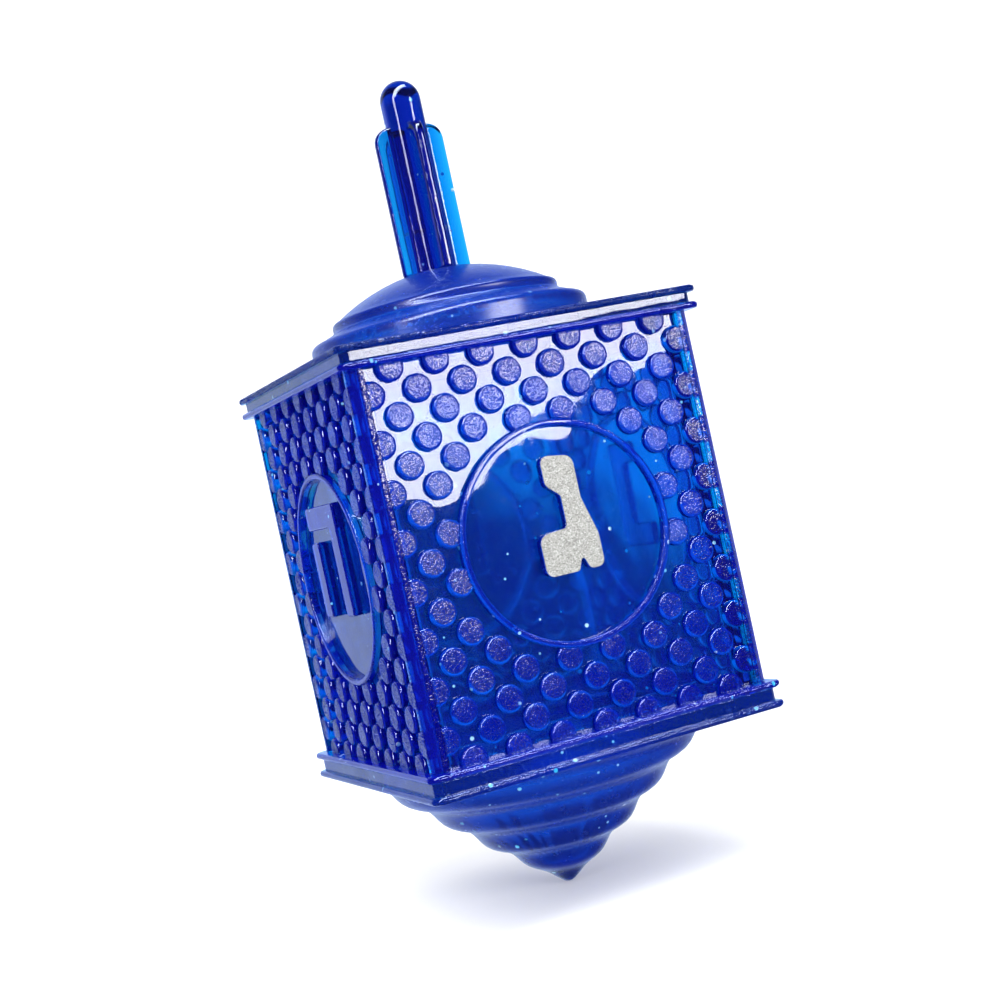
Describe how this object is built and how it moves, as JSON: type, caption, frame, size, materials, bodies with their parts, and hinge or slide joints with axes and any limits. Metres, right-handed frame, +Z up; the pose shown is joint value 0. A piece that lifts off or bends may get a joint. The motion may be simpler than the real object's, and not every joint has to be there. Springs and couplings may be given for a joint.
{
  "type": "dreidel",
  "caption": "Hollow square spinning top of clear blue glitter plastic, with a finned stem on a pull-off lid, dotted walls, raised letters in rings and a ringed cone that ends in a point.",
  "frame": {"origin": "the spinning point, at the bottom of the cone on the spin axis", "axes": "+Z up the spin axis towards the stem, -Y out of the front wall"},
  "size_m": [0.04, 0.04, 0.09],
  "materials": {
    "clear_blue": "clear deep blue moulding with embedded glitter, frosted dot tops",
    "clear_blue_thin": "clear blue moulding with embedded glitter, lighter where it is thin",
    "glitter_foil": "cream-white glitter foil"
  },
  "bodies": {
    "box": {"box_sleeve": "clear_blue", "bottom_cone": "clear_blue", "gimel_foil": "glitter_foil"},
    "lid": {"lid": "clear_blue", "stem": "clear_blue_thin"}
  },
  "joints": [
    {"name": "lid_lift", "type": "slide", "parent": "box", "child": "lid", "axis": [0, 0, 1], "range_m": [0, 0.045]}
  ]
}
